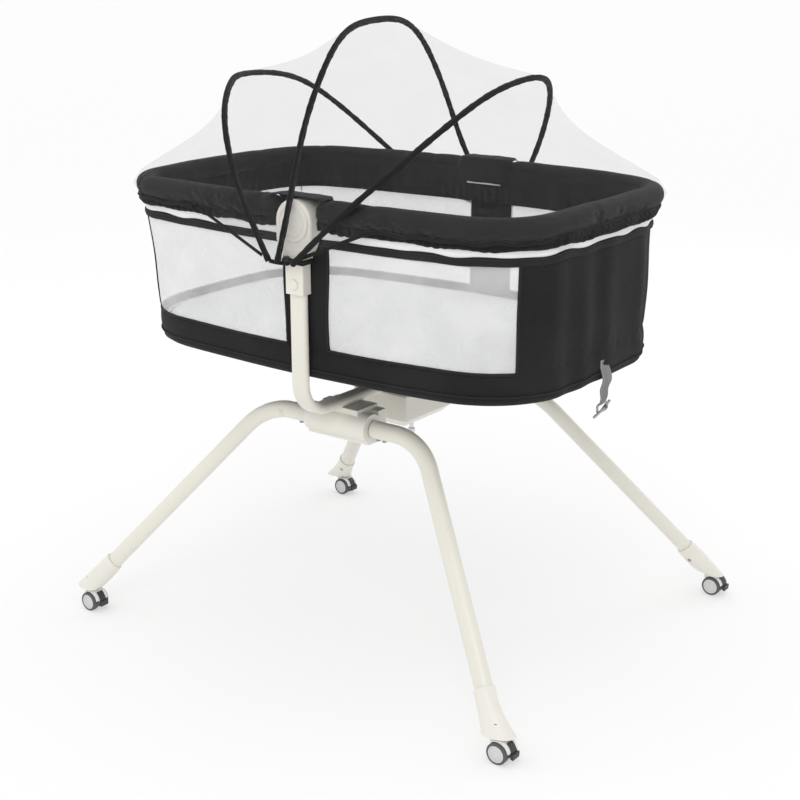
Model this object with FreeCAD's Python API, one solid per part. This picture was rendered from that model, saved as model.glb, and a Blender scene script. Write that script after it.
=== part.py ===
"""Bassinet on a folding wheeled stand, with a fan-folding insect net.

Frame: X runs along the bed (head end at -X, foot end at +X), Y runs across it and Z is up.
The origin is on the floor under the middle of the stand. All sizes are in millimetres.
"""
import FreeCAD, Part
import math
import os

from FreeCAD import Vector

# ---------------------------------------------------------------- driving dimensions
FOOT_X = 468.0            # caster swivel axes, half spacing along the bed
FOOT_Y = 390.0            # caster swivel axes, half spacing across the bed
STEM_Z = 42.0             # underside of the foot castings
WHEEL_R = 18.5            # twin-wheel caster radius
WHEEL_TRAIL = 12.0        # axle offset from the swivel axis

LEG_PIVOT_Y = 185.0       # fold axes of the leg pairs
LEG_PIVOT_Z = 415.0
LEG_CORNER_X = 176.0      # where a leg turns down from its pivot axis
LEG_BEND_R = 110.0
LEG_WIDE = 32.0           # oval leg tube, in the plane of its bend
LEG_NARROW = 25.0
TUBE_WALL = 1.5
SHAFT_R = 10.8
HUB_HALF = 68.0
HUB_R = 26.0

YOKE_Y = 296.0            # middle of the upright arms
YOKE_Z = 455.0            # middle of the cross bar
YOKE_TOP = 790.0
YOKE_BEND_R = 58.0
YOKE_WIDE = 34.0
YOKE_THICK = 16.0

BASKET_HALF_Y = 284.0     # fabric wall, outside
BASKET_ENDS = {"head": (463.0, 150.0), "foot": (421.0, 150.0)}    # half length, corner radius
BASKET_FLOOR = 520.0
WALL_TOP = 784.0
WALL_THICK = 5.0
FLOOR_THICK = 4.0
BOARD_THICK = 8.0
MATTRESS_TOP = 564.0
WINDOW_LOW = 576.0
WINDOW_HIGH = 754.0
WINDOWS = {"head": (41.0, 420.0), "foot": (53.0, 386.0)}          # edges nearest the arm and the end

ROLL_HALF_Y = 284.5       # padded rim roll, centre line
ROLL_ENDS = {"head": (452.0, 95.0), "foot": (412.0, 112.0)}       # half length, corner radius
ROLL_Z = 811.5
ROLL_R = 21.5
RIM_TUBE_R = 8.0

PIVOT_Z = 793.0           # middle of the round rim joints
PIVOT_R = 38.0
COLLAR_Z = 728.0          # where the joint housing narrows to its sleeve
SLEEVE_LOW = 671.0
HOOP_AXIS_X = -12.0       # fan axis of the net hoops
HOOP_R = 5.0              # hoop wire in its fabric sleeve
HOOP_SPAN = 330.0         # half distance between a hoop's ends
NET_CLEAR = 3.2           # gap between a hoop and the net
NET_SEAM = 1.5            # gap between a panel and the line it is sewn on
NET_THICK = 0.8
HEM_START = {"head": 58.0, "foot": 36.0}    # distance of the hem's ends from the joints' middle
HEM_RISE = 87.0           # height of the hem above its ends
HEM_RAMP = 0.3            # share of the hem in which it rises
HEM_CLEAR = 21.0          # gap between the rim roll and the hem

RUN_FIT = 0.05            # radial clearance of turning fits
GAP = 0.3                 # clearance of sliding faces

SIDE_ARC_R = 2600.0       # gentle bow of the long sides
END_ARC_R = 1800.0        # gentle bow of the ends

BENCH = {}                # node name -> solid


# ---------------------------------------------------------------- helpers
def add(node, shape):
    """Keep a finished sub-part under its node name, without needless edges."""
    BENCH[node] = shape.removeSplitter() if shape.ShapeType == "Solid" else shape


def box(x0, x1, y0, y1, z0, z1):
    return Part.makeBox(x1 - x0, y1 - y0, z1 - z0, Vector(x0, y0, z0))


def cyl(radius, start, axis, length):
    return Part.makeCylinder(radius, length, Vector(*start), Vector(*axis))


def flip_y(shape):
    return shape.mirror(Vector(0, 0, 0), Vector(0, 1, 0))


def flip_x(shape):
    return shape.mirror(Vector(0, 0, 0), Vector(1, 0, 0))


def one_solid(shape):
    """The single solid of a boolean result."""
    solids = shape.Solids
    if len(solids) != 1:
        raise ValueError("expected one solid, got %d" % len(solids))
    return solids[0]


def fillet_path(points, radius):
    """Straight runs joined by tangent arcs of one radius, as an open wire."""
    pts = [Vector(*p) for p in points]
    edges = []
    start = pts[0]
    for before, corner, after in zip(pts, pts[1:], pts[2:]):
        inward = (before - corner).normalize()
        outward = (after - corner).normalize()
        half = inward.getAngle(outward) / 2
        setback = radius / math.tan(half)
        middle = (inward + outward).normalize() * (radius / math.sin(half))
        towards = Vector(middle).normalize() * radius
        first = corner + inward * setback
        last = corner + outward * setback
        edges.append(Part.LineSegment(start, first).toShape())
        edges.append(Part.Arc(first, corner + middle - towards, last).toShape())
        start = last
    edges.append(Part.LineSegment(start, pts[-1]).toShape())
    return Part.Wire(edges)


def ellipse_wire(centre, major_dir, normal, major_r, minor_r):
    minor_dir = Vector(*normal).cross(Vector(*major_dir)).normalize()
    centre = Vector(*centre)
    ellipse = Part.Ellipse(centre + Vector(*major_dir).normalize() * major_r,
                           centre + minor_dir * minor_r, centre)
    return Part.Wire([ellipse.toShape()])


def slot_wire(centre, long_dir, normal, length, width):
    """A rectangle with half-round ends, standing square to the normal."""
    centre = Vector(*centre)
    along = Vector(*long_dir).normalize()
    across = Vector(*normal).cross(along).normalize()
    r = width / 2
    a = along * (length / 2 - r)
    b = across * r
    tip = along * (length / 2)
    return Part.Wire([
        Part.LineSegment(centre - a - b, centre + a - b).toShape(),
        Part.Arc(centre + a - b, centre + tip, centre + a + b).toShape(),
        Part.LineSegment(centre + a + b, centre - a + b).toShape(),
        Part.Arc(centre - a + b, centre - tip, centre - a - b).toShape()])


def sweep(path, profile):
    return path.makePipeShell([profile], True, False)


def outline_points(half_x, half_y, corner_r):
    """Tangent points of a rectangle with bowed sides and round corners, first quadrant.

    The side arc is centred on the Y axis, the end arc on the X axis, and the corner arc
    touches both from inside.
    """
    side_c = Vector(0, half_y - SIDE_ARC_R, 0)
    end_c = Vector(half_x - END_ARC_R, 0, 0)
    reach_side = SIDE_ARC_R - corner_r
    reach_end = END_ARC_R - corner_r
    apart = (end_c - side_c).Length
    along = (reach_side ** 2 - reach_end ** 2 + apart ** 2) / (2 * apart)
    off = math.sqrt(reach_side ** 2 - along ** 2)
    unit = (end_c - side_c).normalize()
    square = Vector(-unit.y, unit.x, 0)
    corner_c = max((side_c + unit * along + square * s * off for s in (1, -1)),
                   key=lambda c: c.x + c.y)
    side_p = side_c + (corner_c - side_c).normalize() * SIDE_ARC_R
    end_p = end_c + (corner_c - end_c).normalize() * END_ARC_R
    middle = corner_c + ((side_p + end_p) * 0.5 - corner_c).normalize() * corner_r
    return side_p, middle, end_p


def end_edges(half_x, half_y, corner_r, z, gap):
    """Edges round the foot end, from the near side's gap to the far side's gap."""
    side_p, middle, end_p = outline_points(half_x, half_y, corner_r)
    start_y = half_y - SIDE_ARC_R + math.sqrt(SIDE_ARC_R ** 2 - gap ** 2)
    between = (side_p.x + gap) / 2
    between_y = half_y - SIDE_ARC_R + math.sqrt(SIDE_ARC_R ** 2 - between ** 2)

    def at(x, y):
        return Vector(x, y, z)
    return [
        Part.Arc(at(gap, -start_y), at(between, -between_y), at(side_p.x, -side_p.y)).toShape(),
        Part.Arc(at(side_p.x, -side_p.y), at(middle.x, -middle.y), at(end_p.x, -end_p.y)).toShape(),
        Part.Arc(at(end_p.x, -end_p.y), at(half_x, 0), at(end_p.x, end_p.y)).toShape(),
        Part.Arc(at(end_p.x, end_p.y), at(middle.x, middle.y), at(side_p.x, side_p.y)).toShape(),
        Part.Arc(at(side_p.x, side_p.y), at(between, between_y), at(gap, start_y)).toShape()]


def outline_prism(inset, z0, z1):
    """The basket's closed outline, drawn in by the inset and extruded."""
    ends = {end: end_edges(half_x - inset, BASKET_HALF_Y - inset, corner_r - inset, z0, 0.0)
            for end, (half_x, corner_r) in BASKET_ENDS.items()}
    edges = ends["foot"] + [flip_x(edge) for edge in ends["head"]]
    return Part.Face(Part.Wire(Part.__sortEdges__(edges))).extrude(Vector(0, 0, z1 - z0))


def drill(shape, *tools):
    for tool in tools:
        shape = shape.cut(tool)
    return shape


# ---------------------------------------------------------------- stand
def build_yoke():
    """The U of flat tube that carries the basket."""
    path = fillet_path([(0, -YOKE_Y, YOKE_TOP), (0, -YOKE_Y, YOKE_Z), (0, YOKE_Y, YOKE_Z),
                        (0, YOKE_Y, YOKE_TOP)], YOKE_BEND_R)

    def skin(inset):
        return slot_wire((0, -YOKE_Y, YOKE_TOP), (1, 0, 0), (0, 0, 1),
                         YOKE_WIDE - 2 * inset, YOKE_THICK - 2 * inset)
    add("yoke_tube", one_solid(sweep(path, skin(0)).cut(sweep(path, skin(TUBE_WALL)))))


def build_hubs():
    """Castings under the yoke, each with a bore for one leg pair's fold shaft."""
    yoke_under = YOKE_Z - YOKE_THICK / 2
    back_y = -140.0
    barrel = cyl(HUB_R, (-HUB_HALF, -LEG_PIVOT_Y, LEG_PIVOT_Z), (1, 0, 0), 2 * HUB_HALF)
    saddle = box(-46, 46, -LEG_PIVOT_Y - 14, back_y, LEG_PIVOT_Z, yoke_under)
    plate = box(-HUB_HALF + 4, HUB_HALF - 4, -162, back_y, LEG_PIVOT_Z - 20, yoke_under - 6)
    foot = box(-HUB_HALF, HUB_HALF, -LEG_PIVOT_Y - 12, -LEG_PIVOT_Y + 18,
               LEG_PIVOT_Z - HUB_R - 2, LEG_PIVOT_Z - 10)
    bore = cyl(SHAFT_R + RUN_FIT, (-HUB_HALF - 1, -LEG_PIVOT_Y, LEG_PIVOT_Z), (1, 0, 0),
               2 * HUB_HALF + 2)
    hub = one_solid(drill(barrel.fuse([saddle, plate, foot]), bore))
    add("front_hub", hub)
    add("rear_hub", flip_y(hub))

    heads = []
    for x in (-30, 30):
        for y in (-152.0, 152.0):
            heads.append(cyl(4.5, (x, y, LEG_PIVOT_Z - 23), (0, 0, 1), 3))
    add("hub_bolts", Part.makeCompound(heads))


def build_housing():
    """The box under the middle of the yoke, its cover plate and the fold release pin."""
    under = YOKE_Z - YOKE_THICK / 2
    low, half_x, half_y, wall = 382.0, 60.0, 73.0, 3.0
    plate_low = under - 4.0
    shell = box(-half_x, half_x, -half_y, half_y, low, plate_low)
    shell = shell.makeChamfer(14, [e for e in shell.Edges
                                   if abs(e.CenterOfMass.z - low) < 0.1])
    inside = box(-half_x + wall, half_x - wall, -half_y + wall, half_y - wall, low + 14, plate_low + 1)
    pin_x, pin_y, pin_r = 38.0, -26.0, 4.0
    hole = cyl(pin_r + RUN_FIT, (pin_x, pin_y, low - 5), (0, 0, 1), 30)
    add("central_housing", one_solid(drill(shell, inside, hole)))

    cover = box(-half_x - 6, half_x + 6, -half_y + 2, half_y - 2, plate_low, under)
    add("housing_cover", one_solid(cover))

    knob = cyl(6.5, (pin_x, pin_y, 361), (0, 0, 1), 9)
    knob = knob.makeFillet(2, [knob.Edges[0], knob.Edges[2]])
    shank = cyl(pin_r, (pin_x, pin_y, 366), (0, 0, 1), 40)
    add("release_pin", one_solid(knob.fuse(shank)))


# ---------------------------------------------------------------- legs
def leg_path():
    """Centre line of the leg at the front of the head end, with its corner and foot points."""
    start = (-HUB_HALF - 2, -LEG_PIVOT_Y, LEG_PIVOT_Z)
    corner = Vector(-LEG_CORNER_X, -LEG_PIVOT_Y, LEG_PIVOT_Z)
    foot = Vector(-FOOT_X, -FOOT_Y, STEM_Z)
    end = corner + (foot - corner) * 0.955
    return fillet_path([start, tuple(corner), tuple(end)], LEG_BEND_R), corner, foot


def leg_tube(inset):
    path, corner, foot = leg_path()
    down = (0, foot.y - corner.y, foot.z - corner.z)
    profile = ellipse_wire((-HUB_HALF - 2, -LEG_PIVOT_Y, LEG_PIVOT_Z), down, (1, 0, 0),
                           LEG_WIDE / 2 - inset, LEG_NARROW / 2 - inset)
    return sweep(path, profile)


def foot_casting():
    """The boot on a leg's end, lofted from the tube's oval to the caster's seat, and its screw."""
    _, corner, foot = leg_path()
    along = (foot - corner).normalize()
    wide = Vector(0, foot.y - corner.y, foot.z - corner.z)
    wide = (wide - along * wide.dot(along)).normalize()
    flat = Vector(wide.x, wide.y, 0).normalize()
    face_out = (along.cross(wide) * -1).normalize()
    wall = 3.0
    sections = [
        ellipse_wire(tuple(foot - along * 74), tuple(wide), tuple(along),
                     LEG_WIDE / 2 + wall, LEG_NARROW / 2 + wall),
        ellipse_wire(tuple(foot - along * 32), tuple(wide), tuple(along),
                     LEG_WIDE / 2 + wall + 1, LEG_NARROW / 2 + wall + 1.5),
        ellipse_wire(tuple(foot - flat * 5), tuple(flat), (0, 0, -1), 29, 17.5)]
    stem_hole = cyl(5, (foot.x, foot.y, STEM_Z - 5), (0, 0, 1), 25)
    seat = foot - along * 50 + face_out * (LEG_NARROW / 2 + 1)
    recess = Part.makeCylinder(3.9, 9, seat, face_out)
    screw = Part.makeCylinder(3.6, 3.2, seat, face_out)
    boot = drill(Part.makeLoft(sections, True, False), leg_tube(-0.1), stem_hole, recess)
    return one_solid(boot), screw


def build_legs():
    """One leg with its boot and fasteners, mirrored to the four corners."""
    shaft = cyl(SHAFT_R, (-HUB_HALF - 36, -LEG_PIVOT_Y, LEG_PIVOT_Z), (1, 0, 0), 2 * HUB_HALF + 72)
    outer = leg_tube(0)
    tube = one_solid(drill(outer, leg_tube(TUBE_WALL)))
    boot, screw = foot_casting()
    fasteners = [screw]
    for x in (HUB_HALF + 14, HUB_HALF + 27):
        bolt = cyl(4, (-x, -LEG_PIVOT_Y, LEG_PIVOT_Z - 19.5), (0, 0, 1), 6)
        fasteners.append(one_solid(bolt.cut(outer)))
    stem = cyl(5, (-FOOT_X, -FOOT_Y, STEM_Z - 9), (0, 0, 1), 28)

    for row, to_row in (("front", lambda s: s), ("rear", flip_y)):
        add(row + "_leg_shaft", to_row(shaft))
        for end, to_end in (("head", lambda s: s), ("foot", flip_x)):
            add("%s_leg_%s" % (row, end), to_row(to_end(tube)))
            add("foot_casting_%s_%s" % (row, end), to_row(to_end(boot)))
        both = [to_row(s) for s in fasteners] + [to_row(flip_x(s)) for s in fasteners]
        add(row + "_leg_screws", Part.makeCompound(both))
        add(row + "_caster_stems", Part.makeCompound([to_row(stem), to_row(flip_x(stem))]))


# ---------------------------------------------------------------- casters
def sector(r_in, r_out, low_deg, high_deg, half_width):
    """Part of a ring about the wheel axle, between two angles from +X."""
    ring = cyl(r_out, (0, -half_width, 0), (0, 1, 0), 2 * half_width)
    ring = ring.cut(cyl(r_in, (0, -half_width - 1, 0), (0, 1, 0), 2 * half_width + 2))
    reach = 2 * r_out
    points = [Vector(0, -half_width - 1, 0)]
    steps = 4
    for i in range(steps + 1):
        angle = math.radians(low_deg + (high_deg - low_deg) * i / steps)
        points.append(Vector(reach * math.cos(angle), -half_width - 1, reach * math.sin(angle)))
    points.append(points[0])
    wedge = Part.Face(Part.makePolygon(points)).extrude(Vector(0, 2 * half_width + 2, 0))
    return one_solid(ring.common(wedge))


def caster_parts():
    """Frame, tyres, wheel discs and brake tab, placed about the wheel axle."""
    swivel = Vector(-WHEEL_TRAIL, 0, 0)
    cup_top = STEM_Z - 0.6 - WHEEL_R
    cup = cyl(9.5, (swivel.x, 0, 12), (0, 0, 1), cup_top - 12)
    web = cyl(10, (0, -4.2, 0), (0, 1, 0), 8.4).fuse(box(-19, 2, -4.2, 4.2, -2, 16))
    hood = sector(19.5, 21.6, 12, 128, 14)
    frame = cup.fuse([web, hood])
    stem_hole = cyl(5 + RUN_FIT, (swivel.x, 0, cup_top - 9.2), (0, 0, 1), 20)
    axle_hole = cyl(3 + RUN_FIT, (0, -10, 0), (0, 1, 0), 20)
    wheel_room = [cyl(19.2, (0, y, 0), (0, 1, 0), 15) for y in (-19.6, 4.6)]
    frame = one_solid(drill(frame, stem_hole, axle_hole, *wheel_room))

    tyres, discs = [], [cyl(3, (0, -12, 0), (0, 1, 0), 24)]
    for side in (-1, 1):
        tyre = cyl(WHEEL_R, (0, side * 5.2, 0), (0, side, 0), 13.6)
        tyre = tyre.makeFillet(3, [e for e in tyre.Edges if e.Length > 50])
        tyres.append(one_solid(tyre.cut(cyl(14.5, (0, -30, 0), (0, 1, 0), 60))))
        disc = cyl(14.5, (0, side * 5.6, 0), (0, side, 0), 12.4)
        discs.append(disc.cut(cyl(11.5, (0, side * 17, 0), (0, side, 0), 3)))
    hub = one_solid(discs[0].fuse(discs[1:]))

    tab = sector(22.1, 24.3, -12, 55, 6.5)
    pedal = sector(22.1, 27.5, -14, 8, 9)
    brake = one_solid(tab.fuse(pedal))
    return {"frame": frame, "tyres": Part.makeCompound(tyres), "wheel": hub, "brake": brake}


def build_casters():
    parts = caster_parts()
    for row, y in (("front", -FOOT_Y), ("rear", FOOT_Y)):
        for end, x in (("head", -FOOT_X), ("foot", FOOT_X)):
            for name, shape in parts.items():
                placed = shape.copy()
                placed.translate(Vector(x + WHEEL_TRAIL, y, WHEEL_R))
                add("caster_%s_%s_%s" % (row, end, name), placed)


# ---------------------------------------------------------------- rim joints
def build_rim_joints():
    """Housings that join both rim halves and slide on the yoke's arms by their sleeves."""
    front, back = -YOKE_Y - 13, -YOKE_Y + 34
    waist = 19.0
    low = COLLAR_Z
    face = Part.Wire([
        Part.Arc(Vector(-PIVOT_R, front, PIVOT_Z), Vector(0, front, PIVOT_Z + PIVOT_R),
                 Vector(PIVOT_R, front, PIVOT_Z)).toShape(),
        Part.LineSegment(Vector(PIVOT_R, front, PIVOT_Z), Vector(PIVOT_R, front, 760)).toShape(),
        Part.LineSegment(Vector(PIVOT_R, front, 760), Vector(waist, front, low)).toShape(),
        Part.LineSegment(Vector(waist, front, low), Vector(-waist, front, low)).toShape(),
        Part.LineSegment(Vector(-waist, front, low), Vector(-PIVOT_R, front, 760)).toShape(),
        Part.LineSegment(Vector(-PIVOT_R, front, 760), Vector(-PIVOT_R, front, PIVOT_Z)).toShape()])
    body = Part.Face(face).extrude(Vector(0, back - front, 0))
    body = body.makeFillet(5, [e for e in body.Edges if abs(e.CenterOfMass.y - front) < 0.1])
    body = body.cut(box(-60, 60, -YOKE_Y + 11, back + 1, 700, WALL_TOP + 1))
    sleeve = box(-waist, waist, -YOKE_Y - 13, -YOKE_Y + 10.6, SLEEVE_LOW, low + 2)
    sleeve = sleeve.makeFillet(3, [e for e in sleeve.Edges if abs(e.tangentAt(e.FirstParameter).z) > 0.9])
    cavity_wire = slot_wire((0, -YOKE_Y, SLEEVE_LOW - 1), (1, 0, 0), (0, 0, 1),
                            YOKE_WIDE + 2 * GAP, YOKE_THICK + 2 * GAP)
    cavity = Part.Face(cavity_wire).extrude(Vector(0, 0, YOKE_TOP + GAP + 25 - SLEEVE_LOW))
    button_z, button_r = 688.0, 9.5
    outer = -YOKE_Y - 13

    def hexagon(radius, y0, y1):
        points = [Vector(radius * math.cos(math.radians(60 * i + 30)), y0,
                         button_z + radius * math.sin(math.radians(60 * i + 30))) for i in range(7)]
        return Part.Face(Part.makePolygon(points)).extrude(Vector(0, y1 - y0, 0))
    pocket = hexagon(button_r + 0.15, outer - 1, outer + 4.5)
    housing = one_solid(drill(body.fuse(sleeve), cavity, pocket))

    ring_gap = Part.makeTorus(25, 1.2, Vector(0, front - 3, PIVOT_Z), Vector(0, 1, 0))
    cap = cyl(33, (0, front - 3, PIVOT_Z), (0, 1, 0), 3)
    cap = cap.makeFillet(1.5, [cap.Edges[2]]).cut(ring_gap)
    button = hexagon(button_r, outer - 2.2, outer + 1.8)
    collar_pin = cyl(8, (HOOP_AXIS_X, front + 2, COLLAR_Z), (0, -1, 0), 8.5)
    collar_pin = one_solid(collar_pin.cut(housing))
    add("net_collar_pins", Part.makeCompound([collar_pin, flip_y(collar_pin)]))
    add("rim_joint_front", housing)
    add("rim_joint_rear", flip_y(housing))
    add("rim_joint_caps", Part.makeCompound([one_solid(cap), flip_y(one_solid(cap))]))
    add("height_button_front", button)
    add("height_button_rear", flip_y(button))


# ---------------------------------------------------------------- basket
def build_basket():
    """Fabric basket with see-through windows, its floor board and mattress."""
    def shell(outset, inset, z0, z1):
        return outline_prism(outset, z0, z1).cut(outline_prism(inset, z0 - 1, z1 + 1))
    wall = shell(0, WALL_THICK, BASKET_FLOOR, WALL_TOP)
    floor = outline_prism(WALL_THICK, BASKET_FLOOR, BASKET_FLOOR + FLOOR_THICK)
    mesh = shell(1.5, 2.5, WINDOW_LOW, WINDOW_HIGH)
    holes, panes = [], []
    for end, side_x in (("head", -1), ("foot", 1)):
        for side_y in (-1, 1):
            x0, x1 = sorted(side_x * x for x in WINDOWS[end])
            y0, y1 = sorted((side_y * BASKET_HALF_Y / 3, side_y * BASKET_HALF_Y * 2))
            hole = box(x0, x1, y0, y1, WINDOW_LOW, WINDOW_HIGH)
            holes.append(hole)
            panes.append(one_solid(mesh.common(hole)))
    add("basket_wall", one_solid(drill(wall.fuse(floor), *holes)))
    add("window_mesh", Part.makeCompound(panes))

    board_low = BASKET_FLOOR + FLOOR_THICK
    board_high = board_low + BOARD_THICK
    add("floor_board", outline_prism(WALL_THICK + 3, board_low, board_high))
    add("mattress", outline_prism(WALL_THICK + 4, board_high + 0.5, MATTRESS_TOP))


def build_rim():
    """Two U-shaped rim tubes, each inside a padded roll, both ending in the rim joints."""
    rods = []
    for end, (half_x, corner_r) in ROLL_ENDS.items():
        path = Part.Wire(end_edges(half_x, ROLL_HALF_Y, corner_r, ROLL_Z, PIVOT_R + 0.5))
        first = path.Edges[0]
        start = first.valueAt(first.FirstParameter)
        tangent = first.tangentAt(first.FirstParameter)

        def ring(radius):
            return ellipse_wire(tuple(start), (0, 0, 1), tuple(tangent), radius + 0.01, radius)
        pad = one_solid(sweep(path, ring(ROLL_R)).cut(sweep(path, ring(RIM_TUBE_R + 0.1))))
        rod = sweep(path, ring(RIM_TUBE_R))
        to_end = flip_x if end == "head" else (lambda shape: shape)
        add("rim_pad_" + end, to_end(pad))
        rods.append(to_end(rod))
    add("rim_tubes", Part.makeCompound(rods))


def build_strap():
    """Webbing tether sewn to the foot end, with its wire hook."""
    x = BASKET_ENDS["foot"][0] + GAP
    add("tether_strap", box(x, x + 1.8, -13, 13, 484, 560))
    loop = box(x - 2, x + 4, -19, 19, 466, 484).cut(box(x - 3, x + 5, -15, 15, 470, 480))
    add("tether_hook", one_solid(loop))


# ---------------------------------------------------------------- insect net
HOOPS = {                 # points along each hoop, from its near end over the bed to its far end
    "head": [(-36, -330, 728), (-123, -316, 875), (-183, -267, 960), (-234, -193, 999),
             (-285, -101, 1006), (-308, 0, 1000), (-318, 101, 978), (-312, 193, 930),
             (-278, 270, 862), (-202, 317, 788), (-44, 330, 728)],
    "middle": [(-17, -330, 728), (3, -321, 822), (-2, -266, 956), (-10, -193, 1054),
               (-39, -101, 1093), (-61, 0, 1103), (-73, 101, 1096), (-90, 193, 1048),
               (-90, 266, 945), (-66, 317, 816), (-4, 330, 728)],
    "foot": [(16, -330, 728), (107, -316, 814), (178, -267, 889), (224, -193, 952),
             (241, -101, 994), (237, 0, 1011), (220, 101, 1010), (185, 193, 982),
             (136, 267, 922), (79, 315, 834), (14, 330, 728)],
}


def hoop_path(name):
    """The middle line of a hoop."""
    path = Part.BSplineCurve()
    path.interpolate([Vector(*p) for p in HOOPS[name]])
    return path


def hoop_points(name, count, lift):
    """Points along a hoop, moved out from the fan axis by a lift."""
    path = hoop_path(name)
    step = (path.LastParameter - path.FirstParameter) / (count - 1)
    points = []
    for i in range(count):
        at = path.FirstParameter + i * step
        point, along = path.value(at), path.tangent(at)[0]
        out = point - Vector(HOOP_AXIS_X, 0, COLLAR_Z)
        out = (out - along * out.dot(along)).normalize()
        points.append(point + out * lift)
    return points


def hem_points(end, count):
    """Points of the net's lower edge: up from the fan axis, then outside the rim roll."""
    side_x = -1 if end == "head" else 1
    half_x, corner_r = ROLL_ENDS[end]
    grow = ROLL_R + HEM_CLEAR
    edges = end_edges(half_x + grow, HOOP_SPAN + HOOP_R + NET_CLEAR, corner_r + grow, COLLAR_Z, HEM_START[end])
    points = []
    for i, p in enumerate(Part.Wire(edges).discretize(count)):
        ramp = min(1.0, min(i, count - 1 - i) / (count - 1) / HEM_RAMP)
        rise = HEM_RISE * (1 - math.cos(ramp * math.pi)) / 2
        points.append(Vector(side_x * p.x, p.y, p.z + rise))
    return points


def net_panel(first, last):
    """A thin closed sheet between two rows of points, thickened away from the basket."""
    inside = Vector(0, 0, BASKET_FLOOR)
    rows = [[p + (q - p).normalize() * NET_SEAM for p, q in zip(first, last)],
            [q + (p - q).normalize() * NET_SEAM for p, q in zip(first, last)]]
    outer = []
    for r, row in enumerate(rows):
        lifted = []
        for i, p in enumerate(row):
            along = row[min(i + 1, len(row) - 1)] - row[max(i - 1, 0)]
            across = rows[1][i] - rows[0][i]
            normal = along.cross(across)
            normal = normal.normalize() if normal.Length > 1e-6 else (p - inside).normalize()
            if normal.dot(p - inside) < 0:
                normal = normal * -1
            lifted.append(p + normal * NET_THICK)
        outer.append(lifted)
    last_i = len(first) - 1
    faces = []

    def quad(a, b, c, d):
        for corners in ((a, b, c), (a, c, d)):
            faces.append(Part.Face(Part.makePolygon(list(corners) + [corners[0]])))
    for grid in (rows, outer):
        for i in range(last_i):
            quad(grid[0][i], grid[0][i + 1], grid[1][i + 1], grid[1][i])
    for r in (0, 1):
        for i in range(last_i):
            quad(rows[r][i], rows[r][i + 1], outer[r][i + 1], outer[r][i])
    for i in (0, last_i):
        quad(rows[0][i], rows[1][i], outer[1][i], outer[0][i])
    shell = Part.Shell(faces)
    shell.sewShape()
    solid = Part.Solid(shell)
    if solid.Volume < 0:
        solid.reverse()
    return solid


def build_net():
    for name in HOOPS:
        edge = hoop_path(name).toShape()
        start = edge.valueAt(edge.FirstParameter)
        tangent = edge.tangentAt(edge.FirstParameter)
        circle = Part.Wire([Part.Circle(start, tangent, HOOP_R).toShape()])
        add("net_hoop_" + name, Part.Wire([edge]).makePipeShell([circle], True, True))

    count = 25
    lift = HOOP_R + NET_CLEAR
    rows = {name: hoop_points(name, count, lift) for name in HOOPS}
    rows["head_hem"] = hem_points("head", count)
    rows["foot_hem"] = hem_points("foot", count)
    panels = {"net_panel_head_end": ("head_hem", "head"), "net_panel_head": ("head", "middle"),
              "net_panel_foot": ("middle", "foot"), "net_panel_foot_end": ("foot", "foot_hem")}
    for node, (first, last) in panels.items():
        BENCH[node] = net_panel(rows[first], rows[last])


# ---------------------------------------------------------------- output
def main():
    build_yoke()
    build_hubs()
    build_housing()
    build_legs()
    build_casters()
    build_rim_joints()
    build_basket()
    build_rim()
    build_strap()
    build_net()
    os.makedirs("parts", exist_ok=True)
    for node, shape in BENCH.items():
        shape.exportStep("parts/%s.step" % node)
        print("%-28s %d solids  %.1f cm3  valid %s" % (node, len(shape.Solids), shape.Volume / 1000,
                                                      shape.isValid()))


main()
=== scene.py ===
import math

import bmesh
import bpy
import numpy as np
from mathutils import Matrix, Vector


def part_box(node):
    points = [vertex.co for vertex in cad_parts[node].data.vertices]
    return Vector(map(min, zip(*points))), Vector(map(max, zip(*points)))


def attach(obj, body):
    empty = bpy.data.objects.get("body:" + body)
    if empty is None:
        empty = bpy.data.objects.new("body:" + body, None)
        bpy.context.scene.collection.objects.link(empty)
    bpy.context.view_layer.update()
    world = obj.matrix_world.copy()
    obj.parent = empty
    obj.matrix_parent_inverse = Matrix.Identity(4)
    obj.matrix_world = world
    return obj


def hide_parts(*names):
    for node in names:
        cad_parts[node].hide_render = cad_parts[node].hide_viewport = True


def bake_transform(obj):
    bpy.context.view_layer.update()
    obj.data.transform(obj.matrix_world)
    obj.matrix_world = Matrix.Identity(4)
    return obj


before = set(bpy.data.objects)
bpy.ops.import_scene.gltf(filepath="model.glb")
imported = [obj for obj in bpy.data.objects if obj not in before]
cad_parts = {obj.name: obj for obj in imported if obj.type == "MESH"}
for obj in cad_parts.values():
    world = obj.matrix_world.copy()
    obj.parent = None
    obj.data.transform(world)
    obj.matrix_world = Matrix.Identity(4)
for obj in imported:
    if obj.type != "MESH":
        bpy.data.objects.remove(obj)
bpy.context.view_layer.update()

TAU = 2 * math.pi

# ---- sizes, in metres
SIDE_ARC, END_ARC = 2.6, 1.8              # bows of the basket's long sides and ends
WALL_Y = 0.284
WALL_LOW_ENDS = {"head": (0.463, 0.175), "foot": (0.421, 0.160)}     # half length, corner radius
WALL_TOP_ENDS = {"head": (0.466, 0.105), "foot": (0.419, 0.130)}
FLOOR_Z, WALL_TOP_Z = 0.520, 0.786
WINDOW_Z = (0.576, 0.754)
HEAD_WINDOW_X = 0.041                     # the head window runs from here round the head end
FOOT_WINDOW_X = (0.053, 0.386)            # each foot window stays on its side
ROLL_Y, ROLL_Z, ROLL_R = 0.2845, 0.8115, 0.0215
ROLL_ENDS = {"head": (0.452, 0.095), "foot": (0.412, 0.112)}
JOINT_HALF = 0.0385                       # the rolls end here, at the rim joints
FAN_X, FAN_Z, FAN_Y = -0.012, 0.728, 0.330
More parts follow.
